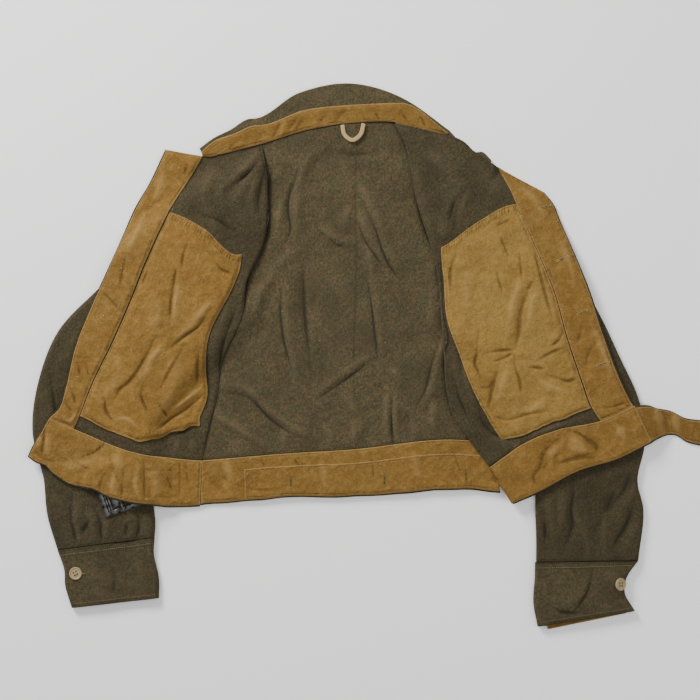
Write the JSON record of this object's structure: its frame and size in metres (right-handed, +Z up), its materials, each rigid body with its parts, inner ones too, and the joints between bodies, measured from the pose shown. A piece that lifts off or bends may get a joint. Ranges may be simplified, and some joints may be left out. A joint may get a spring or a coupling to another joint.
{
  "type": "battledress jacket",
  "caption": "Short wool serge battledress jacket laid open on its outside, drill facings and inner pockets showing, with a waist strap, a buckle and buttoned cuffs.",
  "frame": {"origin": "middle of the outline in plan, on the surface that the jacket lies on", "axes": "+X towards the waist strap on the wearer's left side, +Y towards the collar, +Z up out of the surface"},
  "size_m": [1.0382, 0.7629, 0.0199],
  "materials": {
    "serge": "napped wool serge, khaki brown",
    "drill": "worn cotton drill, ochre",
    "tape": "woven cotton tape",
    "button": "four-hole button, pale brown",
    "steel": "dull steel"
  },
  "bodies": {
    "root": {"back": "serge", "right_front": "serge", "left_front": "serge", "right_sleeve": "serge", "left_sleeve": "serge", "right_cuff": "serge", "left_cuff": "serge", "collar": "serge", "back_waistband": "serge", "right_waistband": "serge", "left_waistband": "serge", "waist_strap": "serge", "buckle_tab": "serge", "collar_band": "drill", "right_facing": "drill", "left_facing": "drill", "right_pocket": "drill", "left_pocket": "drill", "back_waistband_lining": "drill", "right_waistband_lining": "drill", "left_waistband_lining": "drill", "buttonhole_strip": "drill", "waist_strap_lining": "drill", "left_cuff_lining": "drill", "hanger_loop": "tape", "right_cuff_button": "button", "left_cuff_button": "button", "buckle": "steel", "buckle_prong": "steel"}
  },
  "joints": []
}
